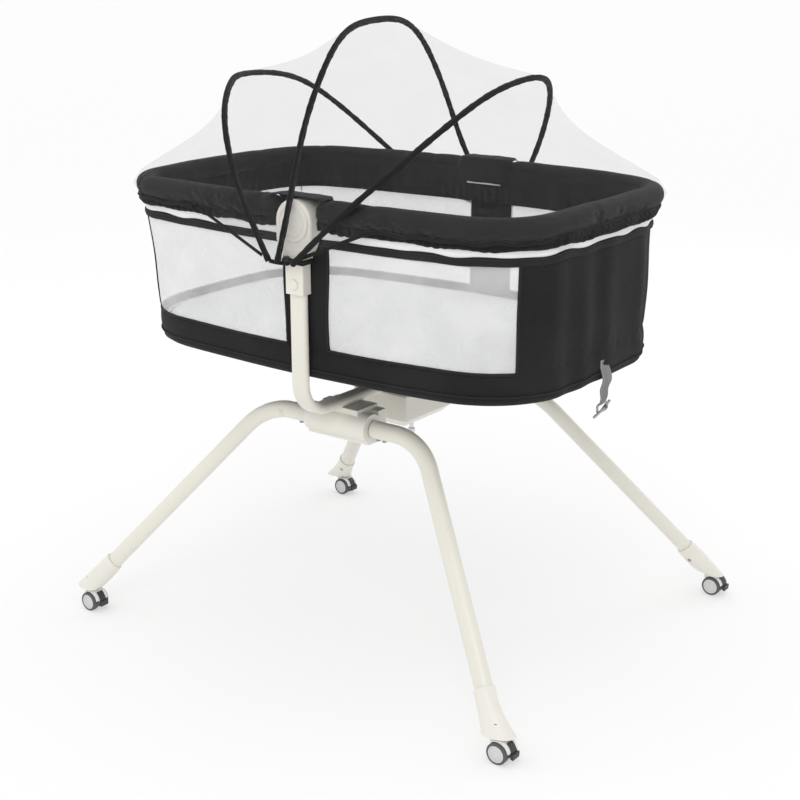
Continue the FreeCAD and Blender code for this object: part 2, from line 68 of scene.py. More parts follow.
# Points along each hoop, from its near end to its far end, as in the CAD source. They came out
# of a curve fit, and a few were then moved.
HOOPS = {
    "head": [(-0.036, -0.330, 0.728), (-0.123, -0.316, 0.875), (-0.183, -0.267, 0.960),
             (-0.234, -0.193, 0.999), (-0.285, -0.101, 1.006), (-0.308, 0.000, 1.000),
             (-0.318, 0.101, 0.978), (-0.312, 0.193, 0.930), (-0.278, 0.270, 0.862),
             (-0.202, 0.317, 0.788), (-0.044, 0.330, 0.728)],
    "middle": [(-0.017, -0.330, 0.728), (0.003, -0.321, 0.822), (-0.002, -0.266, 0.956),
               (-0.010, -0.193, 1.054), (-0.039, -0.101, 1.093), (-0.061, 0.000, 1.103),
               (-0.073, 0.101, 1.096), (-0.090, 0.193, 1.048), (-0.090, 0.266, 0.945),
               (-0.066, 0.317, 0.816), (-0.004, 0.330, 0.728)],
    "foot": [(0.016, -0.330, 0.728), (0.107, -0.316, 0.814), (0.178, -0.267, 0.889),
             (0.224, -0.193, 0.952), (0.241, -0.101, 0.994), (0.237, 0.000, 1.011),
             (0.220, 0.101, 1.010), (0.185, 0.193, 0.982), (0.136, 0.267, 0.922),
             (0.079, 0.315, 0.834), (0.014, 0.330, 0.728)],
}
SLEEVE_R = 0.0052
NET_LIFT = 0.0045                         # how far out the net lies from a hoop's line or the roll
FLOOR_EDGE_R = 0.014                      # rounding between the wall and the base
COLLAR_Y, COLLAR_Z = 0.2975, 0.7275       # middle of the tape round each rim joint's neck
SHEET = 0.0009                            # thickness of the gathered cloth
CAMERA_BACK = (0.5679, -0.7675, 0.2974)   # from the aim towards the camera
CAMERA_AIM, CAMERA_DISTANCE, CAMERA_LENS = (-0.008, 0.0, 0.4078), 2.75, 65.36


# ---- camera, light and stage
def link(obj):
    bpy.context.scene.collection.objects.link(obj)
    return obj


def make_camera():
    back = Vector(CAMERA_BACK).normalized()
    data = bpy.data.cameras.new("camera")
    data.lens, data.sensor_width = CAMERA_LENS, 36.0
    cam = link(bpy.data.objects.new("camera", data))
    cam.location = Vector(CAMERA_AIM) + back * CAMERA_DISTANCE
    cam.rotation_euler = (-back).to_track_quat("-Z", "Y").to_euler()
    bpy.context.scene.camera = cam


def area_light(name, place, aim, size, power):
    data = bpy.data.lights.new(name, "AREA")
    data.shape, data.size, data.energy = "DISK", size, power
    lamp = link(bpy.data.objects.new(name, data))
    lamp.location = place
    lamp.rotation_euler = (Vector(aim) - Vector(place)).to_track_quat("-Z", "Y").to_euler()


def make_stage():
    bpy.context.scene.view_settings.view_transform = "Standard"
    world = bpy.data.worlds.new("studio")
    world.use_nodes = True
    sky = world.node_tree.nodes["Background"]
    sky.inputs[0].default_value = (1.0, 1.0, 1.0, 1.0)
    sky.inputs[1].default_value = 1.0
    bpy.context.scene.world = world
    area_light("key", (1.3, -2.6, 3.0), (0, 0, 0.6), 1.8, 22)
    area_light("fill", (-3.0, -1.6, 1.8), (0, 0, 0.6), 2.4, 7)
    area_light("rim_light", (0.5, 3.0, 2.4), (0, 0, 0.7), 2.0, 12)
    half = 60.0
    mesh = bpy.data.meshes.new("floor")
    corners = [(-half, -half, 0), (half, -half, 0), (half, half, 0), (-half, half, 0)]
    mesh.from_pydata(corners, [], [(0, 1, 2, 3)])
    floor = link(bpy.data.objects.new("floor", mesh))
    shade = bpy.data.materials.new("floor")
    shade.use_nodes = True
    body = shade.node_tree.nodes["Principled BSDF"]
    body.inputs["Base Color"].default_value = (0.48, 0.48, 0.48, 1)
    body.inputs["Roughness"].default_value = 0.9
    body.inputs["Emission Color"].default_value = (1, 1, 1, 1)
    body.inputs["Emission Strength"].default_value = 0.46
    mesh.materials.append(shade)


make_camera()
make_stage()


# ---- materials
class Nodes:
    """A short way to write a node tree."""

    def __init__(self, name):
        self.material = bpy.data.materials.new(name)
        self.material.use_nodes = True
        self.tree = self.material.node_tree
        self.shader = self.tree.nodes["Principled BSDF"]

    def set(self, **values):
        for key, value in values.items():
            self.shader.inputs[key.replace("_", " ")].default_value = value

    def link(self, source, target):
        self.tree.links.new(source, target)

    def node(self, kind, inputs=None, **props):
        n = self.tree.nodes.new(kind)
        for key, value in props.items():
            setattr(n, key, value)
        for key, value in (inputs or {}).items():
            if isinstance(value, bpy.types.NodeSocket):
                self.link(value, n.inputs[key])
            else:
                n.inputs[key].default_value = value
        return n

    def math(self, operation, a, b=0.0):
        return self.node("ShaderNodeMath", {0: a, 1: b}, operation=operation).outputs[0]

    def coords(self, which="Object"):
        return self.node("ShaderNodeTexCoord").outputs[which]

    def noise(self, scale, detail=3.0, stretch=(1, 1, 1)):
        place = self.node("ShaderNodeMapping", {"Vector": self.coords(), "Scale": stretch})
        return self.node("ShaderNodeTexNoise", {"Vector": place.outputs[0], "Scale": scale,
                                                "Detail": detail}).outputs["Fac"]

    def ramp(self, value, low, high, a, b):
        """Colour a below low, colour b above high."""
        share = self.node("ShaderNodeMapRange", {0: value, 1: low, 2: high})
        return self.mixed(share.outputs[0], a, b)

    def mixed(self, factor, a, b):
        mix = self.node("ShaderNodeMix", {"Factor": factor}, data_type="RGBA")
        for index, value in ((6, a), (7, b)):
            if isinstance(value, bpy.types.NodeSocket):
                self.link(value, mix.inputs[index])
            else:
                mix.inputs[index].default_value = (*value, 1)
        return mix.outputs[2]

    def colour(self, value):
        self.link(value, self.shader.inputs["Base Color"])

    def rough(self, value, low, high):
        share = self.node("ShaderNodeMapRange", {0: value, 1: 0.3, 2: 0.7, 3: low, 4: high})
        self.link(share.outputs[0], self.shader.inputs["Roughness"])

    def bump(self, height, strength, distance):
        b = self.node("ShaderNodeBump", {"Strength": strength, "Distance": distance,
                                         "Height": height})
        self.link(b.outputs[0], self.shader.inputs["Normal"])


def threads(n, pitch):
    """Height of a plain weave with the given thread pitch, on three axes."""
    split = n.node("ShaderNodeSeparateXYZ", {0: n.coords()})
    x, y, z = [n.math("SINE", n.math("MULTIPLY", split.outputs[i], TAU / pitch)) for i in range(3)]
    return n.math("ADD", n.math("MULTIPLY", x, z), n.math("MULTIPLY", y, z))


STITCH_PITCH, STITCH_SHARE, THREAD_HALF = 0.004, 0.68, 0.00045


def stitch_mask(n, lines):
    """1 on the dashes of sewing-thread rows that run along u at the given v."""
    split = n.node("ShaderNodeSeparateXYZ", {0: n.coords("UV")})
    near = None
    for v in lines:
        off = n.math("ABSOLUTE", n.math("SUBTRACT", split.outputs[1], v))
        row = n.math("LESS_THAN", off, THREAD_HALF)
        near = row if near is None else n.math("MAXIMUM", near, row)
    beat = n.math("FRACT", n.math("DIVIDE", split.outputs[0], STITCH_PITCH))
    return n.math("MULTIPLY", near, n.math("LESS_THAN", beat, STITCH_SHARE))


def cloth(name, base, light, pitch=0.0011, rough=(0.72, 0.9), sheen=0.05, shine=0.12, stitches=(),
          thread=(0.1, 0.1, 0.1), folds=0.0, depth=0.0004):
    n = Nodes(name)
    patch = n.noise(9.0, 4.0)
    fine = n.noise(260.0, 2.0)
    colour = n.ramp(patch, 0.35, 0.68, base, light)
    weave = threads(n, pitch)
    shaded = n.mixed(n.math("MULTIPLY", n.math("ADD", weave, 1.0), 0.16), colour,
                     tuple(c * 1.45 + 0.004 for c in light))
    height = n.math("ADD", n.math("MULTIPLY", weave, 0.5), fine)
    if folds:
        slow = n.noise(26.0, 3.0, stretch=(1, 1, 0.3))
        height = n.math("ADD", height, n.math("MULTIPLY", slow, folds))
    if stitches:
        mask = stitch_mask(n, stitches)
        shaded = n.mixed(mask, shaded, thread)
        height = n.math("ADD", height, n.math("MULTIPLY", mask, 1.5))
    n.colour(shaded)
    n.rough(fine, *rough)
    n.bump(height, 0.55, depth)
    n.set(Sheen_Weight=sheen, Sheen_Roughness=0.45, Specular_IOR_Level=shine)
    n.set(Sheen_Tint=(0.8, 0.8, 0.85, 1))
    return n.material


def netting(name, colour, pitch, thin, thick):
    """Open netting: threads on two slants, almost clear between them."""
    n = Nodes(name)
    split = n.node("ShaderNodeSeparateXYZ", {0: n.coords("UV")})
    waves = []
    for sign in (1, -1):
        slant = n.math("ADD", split.outputs[0], n.math("MULTIPLY", split.outputs[1], sign))
        waves.append(n.math("ABSOLUTE", n.math("SINE", n.math("MULTIPLY", slant, math.pi / pitch))))
    hole = n.math("MULTIPLY", waves[0], waves[1])
    share = n.node("ShaderNodeMapRange", {0: hole, 1: 0.15, 2: 0.75, 3: thick, 4: thin})
    cloudy = n.noise(14.0, 3.0)
    fade = n.node("ShaderNodeMapRange", {0: cloudy, 1: 0.3, 2: 0.7, 3: 0.88, 4: 1.12})
    n.link(n.math("MULTIPLY", share.outputs[0], fade.outputs[0]), n.shader.inputs["Alpha"])
    n.colour(n.ramp(cloudy, 0.3, 0.7, tuple(c * 0.94 for c in colour), colour))
    n.bump(hole, 0.3, 0.0002)
    n.set(Roughness=0.7)
    return n.material


def painted(name, base, rough, coat=0.0, speck=0.03):
    """Powder paint: faint orange peel, slight unevenness, a few rubbed places."""
    n = Nodes(name)
    cloudy = n.noise(5.0, 5.0)
    rubbed = n.noise(42.0, 6.0)
    tint = n.ramp(cloudy, 0.3, 0.7, tuple(c * (1 - speck) for c in base), base)
    dark = tuple(c * 0.80 for c in base)
    worn = n.node("ShaderNodeMapRange", {0: rubbed, 1: 0.66, 2: 0.8}).outputs[0]
    n.colour(n.mixed(worn, tint, dark))
    n.rough(rubbed, rough - 0.06, rough + 0.08)
    n.bump(n.noise(900.0, 2.0), 0.12, 0.0002)
    n.set(Coat_Weight=coat, Coat_Roughness=0.25, IOR=1.5)
    return n.material


def moulded(name, base, rough, grain=1400.0, depth=0.0001):
    """Injection-moulded plastic with a fine spark texture."""
    n = Nodes(name)
    cloudy = n.noise(8.0, 4.0)
    scuff = n.noise(60.0, 8.0, stretch=(1, 1, 0.25))
    tint = n.ramp(cloudy, 0.3, 0.7, tuple(c * 0.965 for c in base), base)
    worn = n.node("ShaderNodeMapRange", {0: scuff, 1: 0.64, 2: 0.78, 4: 0.6}).outputs[0]
    n.colour(n.mixed(worn, tint, tuple(c * 0.86 for c in base)))
    n.rough(scuff, rough - 0.05, rough + 0.1)
    n.bump(n.noise(grain, 2.0), 0.25, depth)
    n.set(IOR=1.47)
    return n.material


def metal(name, base, rough, brushed=0.0):
    n = Nodes(name)
    scuff = n.noise(120.0, 5.0, stretch=(1, 1, 0.1 if brushed else 1))
    n.colour(n.ramp(scuff, 0.35, 0.7, tuple(c * 0.82 for c in base), base))
    n.rough(scuff, rough * 0.8, rough * 1.5)
    n.bump(scuff, 0.15 + brushed, 0.0001)
    n.set(Metallic=1.0)
    return n.material


BLACK, BLACK_LIT = (0.011, 0.011, 0.0115), (0.018, 0.018, 0.0185)
PAD, PAD_LIT = (0.010, 0.010, 0.0105), (0.016, 0.016, 0.0165)
BLACK_THREAD = (0.045, 0.045, 0.047)
M = {
    "shell": cloth("black_shell", BLACK, BLACK_LIT, folds=0.4),
    "roll": cloth("padded_black", PAD, PAD_LIT, folds=0.5, sheen=0.07),
    "skirt": cloth("gathered_black", PAD, PAD_LIT, folds=0.8),
    "binding": cloth("black_binding", (0.013, 0.013, 0.014), (0.020, 0.020, 0.021), pitch=0.0016,
                     stitches=(0.0012, 0.0058), thread=BLACK_THREAD),
    "hem": cloth("black_hem", (0.014, 0.014, 0.015), (0.022, 0.022, 0.023),
                 stitches=(0.002, 0.0125), thread=BLACK_THREAD),
    "sleeve": cloth("hoop_sleeve", (0.011, 0.011, 0.012), (0.017, 0.017, 0.018), pitch=0.0014),
    "trim": cloth("white_trim", (0.74, 0.74, 0.73), (0.84, 0.84, 0.83), pitch=0.0014, sheen=0.1),
    "mattress": cloth("mattress_cover", (0.76, 0.77, 0.78), (0.84, 0.85, 0.86), pitch=0.0018,
                      sheen=0.15, folds=0.3),
    "webbing": cloth("grey_webbing", (0.16, 0.16, 0.16), (0.26, 0.26, 0.26), pitch=0.0022,
                     stitches=(0.002, 0.024), thread=(0.5, 0.5, 0.5), depth=0.0007),
    "window": netting("window_netting", (0.80, 0.80, 0.80), 0.0016, 0.30, 0.72),
    "net": netting("insect_netting", (0.14, 0.14, 0.145), 0.0018, 0.035, 0.12),
    "paint": painted("cream_paint", (0.74, 0.715, 0.635), 0.34, coat=0.25),
    "plastic": moulded("cream_plastic", (0.765, 0.745, 0.675), 0.36),
    "white_plastic": moulded("white_plastic", (0.80, 0.80, 0.77), 0.25),
    "grey_plastic": moulded("grey_plastic", (0.66, 0.66, 0.65), 0.38),
    "black_plastic": moulded("black_plastic", (0.03, 0.03, 0.032), 0.4),
    "rubber": moulded("tyre_rubber", (0.085, 0.085, 0.092), 0.62, grain=700.0, depth=0.0003),
    "steel": metal("steel", (0.36, 0.36, 0.37), 0.35),
    "chrome": metal("chrome", (0.72, 0.72, 0.74), 0.16),
    "dull_metal": metal("dull_metal", (0.42, 0.42, 0.43), 0.36, brushed=0.1),
    "board": cloth("floor_board", (0.030, 0.030, 0.031), (0.045, 0.045, 0.046), pitch=0.002,
                   sheen=0.0),
}

PAINTED = ["yoke_tube", "housing_cover"]
PLASTIC = ["front_hub", "rear_hub", "central_housing", "rim_joint_front", "rim_joint_rear",
           "rim_joint_caps", "height_button_front", "height_button_rear"]
STEEL = ["hub_bolts", "front_leg_shaft", "rear_leg_shaft", "front_leg_screws", "rear_leg_screws",
         "front_caster_stems", "rear_caster_stems", "rim_tubes"]
CORNERS = [(row, end) for row in ("front", "rear") for end in ("head", "foot")]
finishes = {"release_pin": "chrome", "net_collar_pins": "black_plastic", "floor_board": "board"}
finishes.update({node: "paint" for node in PAINTED})
finishes.update({node: "plastic" for node in PLASTIC})
finishes.update({node: "steel" for node in STEEL})
for row, end in CORNERS:
    corner = "%s_%s" % (row, end)
    finishes["%s_leg_%s" % (row, end)] = "paint"
    finishes["foot_casting_" + corner] = "plastic"
    finishes["caster_%s_frame" % corner] = "white_plastic"
    finishes["caster_%s_tyres" % corner] = "rubber"
    finishes["caster_%s_wheel" % corner] = "grey_plastic"
    finishes["caster_%s_brake" % corner] = "black_plastic"
for node, finish in finishes.items():
    for slot in bpy.data.objects[node].material_slots:
        slot.material = M[finish]


# ---- outlines
def run_along(points):
    """How far along a line each of its points is."""
    return np.concatenate([[0], np.cumsum(np.linalg.norm(np.diff(points, axis=0), axis=1))])


def unit_rows(vectors):
    return vectors / np.linalg.norm(vectors, axis=1)[:, None]


def ease(share):
    """A share from 0 to 1 with a soft start and stop."""
    return share * share * (3 - 2 * share)


def raised(flat, z):
    """Points in the plane, set at one height or at one height each."""
    return np.concatenate([flat, np.full((len(flat), 1), z)], 1)


def quarter(half_x, half_y, corner_r, count=300):
    """A quarter of the outline, from the middle of a long side to the middle of an end."""
    side_c = np.array([0.0, half_y - SIDE_ARC])
    end_c = np.array([half_x - END_ARC, 0.0])
    reach_side, reach_end = SIDE_ARC - corner_r, END_ARC - corner_r
    apart = np.linalg.norm(end_c - side_c)
    along = (reach_side ** 2 - reach_end ** 2 + apart ** 2) / (2 * apart)
    off = math.sqrt(reach_side ** 2 - along ** 2)
    unit = (end_c - side_c) / apart
    square = np.array([-unit[1], unit[0]])
    corner_c = max((side_c + unit * along + square * s * off for s in (1, -1)), key=sum)

    def arc(centre, radius, start, stop):
        angles = np.linspace(start, stop, count)
        return centre + radius * np.stack([np.cos(angles), np.sin(angles)], 1)
    turn_side = math.atan2(*(corner_c - side_c)[::-1])
    turn_end = math.atan2(*(corner_c - end_c)[::-1])
    return np.concatenate([arc(side_c, SIDE_ARC, math.pi / 2, turn_side)[:-1],
                           arc(corner_c, corner_r, turn_side, turn_end)[:-1],
                           arc(end_c, END_ARC, turn_end, 0.0)])


class Loop:
    """A closed outline, marked 0 to 4 by quarters from mid near side towards the foot end."""

    def __init__(self, half_y, ends):
        foot = quarter(ends["foot"][0], half_y, ends["foot"][1])
        head = quarter(ends["head"][0], half_y, ends["head"][1])
        parts = [foot * (1, -1), foot[::-1], head * (-1, 1), head[::-1] * (-1, -1)]
        points, marks = [], []
        for k, part in enumerate(parts):
            run = run_along(part)
            points.append(part[:-1])
            marks.append(k + (run / run[-1])[:-1])
        self.points = np.concatenate(points + [parts[0][:1]])
        self.marks = np.concatenate(marks + [[4.0]])
        ahead = unit_rows(np.roll(self.points[:-1], -1, 0) - np.roll(self.points[:-1], 1, 0))
        normals = np.stack([ahead[:, 1], -ahead[:, 0]], 1)
        self.normals = np.concatenate([normals, normals[:1]])

    def read(self, values, u):
        u = np.mod(np.asarray(u, float), 4.0)
        return np.stack([np.interp(u, self.marks, values[:, k]) for k in (0, 1)], -1)

    def at(self, u):
        return self.read(self.points, u)

    def normal(self, u):
        n = self.read(self.normals, u)
        return n / np.linalg.norm(n, axis=-1, keepdims=True)

    def mark_of_x(self, x, side):
        """The mark where the outline passes x, on the near (-1) or far (1) side."""
        keep = (self.points[:, 1] * side > 0)
        picked = np.argmin(np.where(keep, abs(self.points[:, 0] - x), 9.0))
        return float(self.marks[picked])


wall_low = Loop(WALL_Y, WALL_LOW_ENDS)
wall_top = Loop(WALL_Y + 0.001, WALL_TOP_ENDS)
roll_line = Loop(ROLL_Y, ROLL_ENDS)


def ripple(u, count, low, high, seed):
    """A smooth wavy value along an outline, mean 0 and about -1 to 1."""
    draw = np.random.RandomState(seed)
    total = np.zeros_like(np.asarray(u, float))
    for _ in range(count):
        turns = draw.randint(low, high)
        size = draw.uniform(0.5, 1.0)
        total = total + size * np.sin(turns * u * math.pi / 2 + draw.uniform(0, TAU))
    return total / (0.55 * count ** 0.5 + 0.4)


def bell(x, centre, width):
    return np.exp(-((x - centre) / width) ** 2)


# ---- mesh builders
def area_of(mesh):
    return float(sum(p.area for p in mesh.polygons))


def points_of(mesh):
    return np.array([v.co for v in mesh.vertices], float)


def put_points(mesh, points):
    mesh.vertices.foreach_set("co", points.astype(np.float32).ravel())


def grid_piece(name, points, material, close_u=False, close_v=False, body="basket",
               slot="black_fabric", thickness=0.0, outward=True):
    """A surface through an (n, m, 3) array of points, with uv in metres along both ways."""
    points = np.asarray(points, float)
    rows, cols = points.shape[:2]
    mesh = bpy.data.meshes.new(name)
    cells = [(i, j) for i in range(rows if close_u else rows - 1)
             for j in range(cols if close_v else cols - 1)]
    faces = []
    for i, j in cells:
        here, ahead, beside = i * cols, ((i + 1) % rows) * cols, (j + 1) % cols
        ring = (here + j, ahead + j, ahead + beside, here + beside)
        faces.append(ring if outward else ring[::-1])
    mesh.from_pydata(points.reshape(-1, 3).tolist(), [], faces)
    middle_col, middle_row = cols // 2, rows // 2
    u = run_along(np.concatenate([points[:, middle_col], points[:1, middle_col]]))
    v = run_along(np.concatenate([points[middle_row], points[middle_row, :1]]))
    layer = mesh.uv_layers.new(name="metres")
    values = []
    for i, j in cells:
        ring = [(u[i], v[j]), (u[i + 1], v[j]), (u[i + 1], v[j + 1]), (u[i], v[j + 1])]
        values.extend(ring if outward else ring[::-1])
    layer.data.foreach_set("uv", np.array(values, np.float32).ravel())
    for p in mesh.polygons:
        p.use_smooth = True
    mesh.materials.append(material)
    piece = link(bpy.data.objects.new(name, mesh))
    if thickness:
        m = piece.modifiers.new("thickness", "SOLIDIFY")
        m.thickness, m.offset = thickness, 0.0
    piece["flat_area"] = area_of(mesh)
    settle(piece)
    if body:
        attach(piece, body)
    return piece


def band(name, lines, material, **more):
    """A surface from closed line to closed line."""
    return grid_piece(name, np.stack(lines, 1), material, close_u=True, **more)


def settle(piece):
    """Applies every modifier."""
    if not piece.modifiers:
        return
    graph = bpy.context.evaluated_depsgraph_get()
    final = bpy.data.meshes.new_from_object(piece.evaluated_get(graph))
    old = piece.data
    piece.modifiers.clear()
    piece.data = final
    final.name = piece.name
    bpy.data.meshes.remove(old)


def frames_along(points, closed, up=None):
    """Two steady cross directions at each point of a line."""
    points = np.asarray(points, float)
    if closed:
        ahead = np.roll(points, -1, 0) - np.roll(points, 1, 0)
    else:
        ahead = np.gradient(points, axis=0)
    ahead = unit_rows(ahead)
    if up is not None:
        side = unit_rows(np.cross(ahead, np.asarray(up, float)))
        return side, np.cross(side, ahead)
    side = np.cross(ahead[0], (0, 0, 1.0) if abs(ahead[0][2]) < 0.9 else (1.0, 0, 0))
    sides = []
    for a in ahead:
        side = side - a * (side @ a)
        side = side / np.linalg.norm(side)
        sides.append(side)
    sides = np.array(sides)
    return sides, np.cross(sides, ahead)


def tube_points(points, radius, sides=10, closed=False, up=None, flat=1.0):
    """Rings round a line; the ends of an open line are drawn shut."""
    a, b = frames_along(points, closed, up)
    radius = np.broadcast_to(np.asarray(radius, float), (len(points),))
    rings = []
    for k in range(sides):
        angle = TAU * k / sides
        rings.append(points + radius[:, None] * (math.cos(angle) * a * flat + math.sin(angle) * b))
    rings = np.stack(rings, 1)
    if not closed:
        start, stop = np.repeat(points[:1], sides, 0), np.repeat(points[-1:], sides, 0)
        rings = np.concatenate([start[None], rings, stop[None]])
    return rings


def tube(name, points, radius, material, sides=10, closed=False, up=None, flat=1.0, **more):
    rings = tube_points(np.asarray(points, float), radius, sides, closed, up, flat)
    return grid_piece(name, rings, material, close_u=closed, close_v=True, **more)


def sleeve_tube(name, line, radius, **more):
    return tube(name, line, radius, M["sleeve"], slot="hoop_sleeve", **more)


def smooth_line(points, count):
    """A Catmull-Rom line through the points, evenly spaced."""
    p = np.asarray(points, float)
    p = np.concatenate([[2 * p[0] - p[1]], p, [2 * p[-1] - p[-2]]])
    out = []
    for i in range(1, len(p) - 2):
        for t in np.linspace(0, 1, 24, endpoint=False):
            a, b, c, d = p[i - 1], p[i], p[i + 1], p[i + 2]
            out.append(0.5 * (2 * b + (c - a) * t + (2 * a - 5 * b + 4 * c - d) * t ** 2
                              + (3 * b - a - 3 * c + d) * t ** 3))
    out.append(p[-2])
    out = np.array(out)
    run = run_along(out)
    even = np.linspace(0, run[-1], count)
    return np.stack([np.interp(even, run, out[:, k]) for k in range(3)], 1)


# ---- basket fabric
WINDOW_MARKS = {
    "head": [wall_top.mark_of_x(-HEAD_WINDOW_X, side) for side in (1, -1)],
    "foot_front": [wall_top.mark_of_x(x, -1) for x in FOOT_WINDOW_X],
    "foot_rear": [wall_top.mark_of_x(x, 1) for x in FOOT_WINDOW_X[::-1]],
}
SEAM_MARKS = (2.66, 3.34)                 # upright seams of the head window, near its corners


def in_window(u):
    """How far inside a window's width a mark is: above 0 inside, 0 at its edge."""
    best = np.full(np.shape(u), -9.0)
    for low, high in WINDOW_MARKS.values():
        best = np.maximum(best, np.minimum(u - low, high - u))
    return best


def wall_shift(u, z):
    """Outward movement of the wall fabric: soft folds on the closed ends, faint pull elsewhere."""
    t = np.clip((z - FLOOR_Z) / (WALL_TOP_Z - FLOOR_Z), 0, 1)
    closed = np.clip(-in_window(u) * 14, 0, 1)
    arms = np.clip(1 - np.minimum(abs(np.mod(u + 1, 2) - 1), 1) * 9, 0, 1)
    closed = closed * (1 - arms)
    hang = np.sin(np.pi * np.clip(t * 0.9 + 0.08, 0, 1)) ** 0.6
    folds = 0.0042 * closed * hang * ripple(u, 5, 14, 46, 3)
    slow = 0.0016 * ripple(u + 0.6 * t, 4, 3, 11, 5) * hang
    low_band = 0.0028 * bell(z, 0.551, 0.018)
    pucker = 0.0007 * ripple(u + 2 * t, 6, 60, 130, 9) * bell(z, 0.583, 0.02)
    pull = -0.0016 * bell(z, WINDOW_Z[0], 0.006) + pucker
    return folds + slow + low_band + pull


def wall_point(u, z, out=0.0):
    t = np.clip((z - FLOOR_Z) / (WALL_TOP_Z - FLOOR_Z), 0, 1)[..., None]
    lean = t ** 1.3
    flat = wall_low.at(u) * (1 - lean) + wall_top.at(u) * lean
    normal = wall_low.normal(u) * (1 - lean) + wall_top.normal(u) * lean
    below = np.clip((FLOOR_Z + FLOOR_EDGE_R - z) / FLOOR_EDGE_R, 0, 1)
    inward = FLOOR_EDGE_R * (1 - np.sqrt(np.clip(1 - below ** 2, 0, 1)))
    flat = flat + normal * (wall_shift(u, z) + out - inward)[..., None]
    return np.concatenate([flat, z[..., None]], -1)


def wall_patch(marks, heights, out=0.0):
    u, z = np.meshgrid(np.asarray(marks, float), np.asarray(heights, float), indexing="ij")
    return wall_point(u, z, out)


def spaced(stops, step):
    """Values through all the stops, at most a step apart."""
    out = []
    for a, b in zip(stops, stops[1:]):
        out.extend(np.linspace(a, b, max(2, int(math.ceil((b - a) / step)) + 1))[:-1])
    return out + [stops[-1]]


def build_wall():
    stops = sorted({0.0, 4.0} | {m for pair in WINDOW_MARKS.values() for m in pair})
    marks = np.array(spaced(stops, 0.0075))[:-1]
    low = FLOOR_Z + FLOOR_EDGE_R * (1 - np.cos(np.linspace(0, math.pi / 2, 6)))
    heights = np.array(list(low) + spaced([0.5345, *WINDOW_Z, WALL_TOP_Z], 0.006)[1:])
    points = wall_patch(marks, heights)
    mid = (marks + np.roll(marks, -1)) / 2
    mid[-1] = (marks[-1] + 4.0) / 2
    open_col = in_window(mid) > 0
    level = (heights[:-1] + heights[1:]) / 2
    open_row = (level > WINDOW_Z[0]) & (level < WINDOW_Z[1])
    wall = grid_piece("basket_shell", points, M["shell"], close_u=True, body=None)
    cut = bmesh.new()
    cut.from_mesh(wall.data)
    cut.faces.ensure_lookup_table()
    cols = len(heights) - 1
    gone = [cut.faces[i * cols + j] for i in np.flatnonzero(open_col)
            for j in np.flatnonzero(open_row)]
    bmesh.ops.delete(cut, geom=gone, context="FACES")
    cut.to_mesh(wall.data)
    cut.free()
    m = wall.modifiers.new("thickness", "SOLIDIFY")
    m.thickness, m.offset = 0.0016, -1.0
    settle(wall)
    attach(wall, "basket")
    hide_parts("basket_wall")

    shrink = np.linspace(1.0, 0.0, 14)[:-1]
    ring = wall_patch(marks, [FLOOR_Z])[:, 0]
    rings = [ring * (s, s, 1) + (0, 0, 0.0004 * math.cos(9 * s)) for s in shrink]
    base = band("basket_base", rings, M["shell"], outward=False, body=None)
    fill = bmesh.new()
    fill.from_mesh(base.data)
    bmesh.ops.holes_fill(fill, edges=[e for e in fill.edges if e.is_boundary and
                                      (e.verts[0].co - Vector((0, 0, FLOOR_Z))).length < 0.1])
    fill.to_mesh(base.data)
    fill.free()
    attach(base, "basket")

    piping = wall_patch(marks[::2], [0.5375], 0.0014)[:, 0]
    tube("base_piping", piping, 0.0017, M["binding"], sides=8, closed=True)


def build_windows():
    tape = 0.0032
    profile = ((-1.0, -0.0004), (-0.9, 0.0010), (-0.3, 0.0014), (0.3, 0.0012), (0.5, -0.0012))
    heights = np.linspace(*WINDOW_Z, 26)
    for name, (low, high) in WINDOW_MARKS.items():
        count = 64 if high - low < 1 else 256
        marks = np.linspace(low, high, count)
        pane = grid_piece("window_pane_" + name, wall_patch(marks, heights, -0.0016), M["window"],
                          slot="window_net")
        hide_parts("window_mesh")
        edge = wall_patch(marks, [WINDOW_Z[0]])[:, 0]
        length = float(np.linalg.norm(np.diff(edge, axis=0), axis=1).sum())

        across = tape / (length / (high - low))
        u = np.concatenate([marks, np.full(26, high), marks[::-1], np.full(26, low)])
        z = np.concatenate([np.full(count, WINDOW_Z[0]), heights,
                            np.full(count, WINDOW_Z[1]), np.linspace(*WINDOW_Z[::-1], 26)])
        u_out = np.clip((u - (low + high) / 2) * 1e3, -1, 1)
        z_out = np.clip((z - sum(WINDOW_Z) / 2) * 1e3, -1, 1)
        rows = [wall_point(u - u_out * share * across, z - z_out * share * tape, lift)
                for share, lift in profile]
        binding = band("window_binding_" + name, rows, M["binding"], thickness=0.0006)
    for tag, mark in zip(("rear", "front"), SEAM_MARKS):
        upright = wall_patch([mark], np.linspace(*WINDOW_Z, 30), 0.0002)[0]
        tube("window_seam_" + tag, upright, 0.0014, M["binding"], sides=8, up=(1, 0, 0))


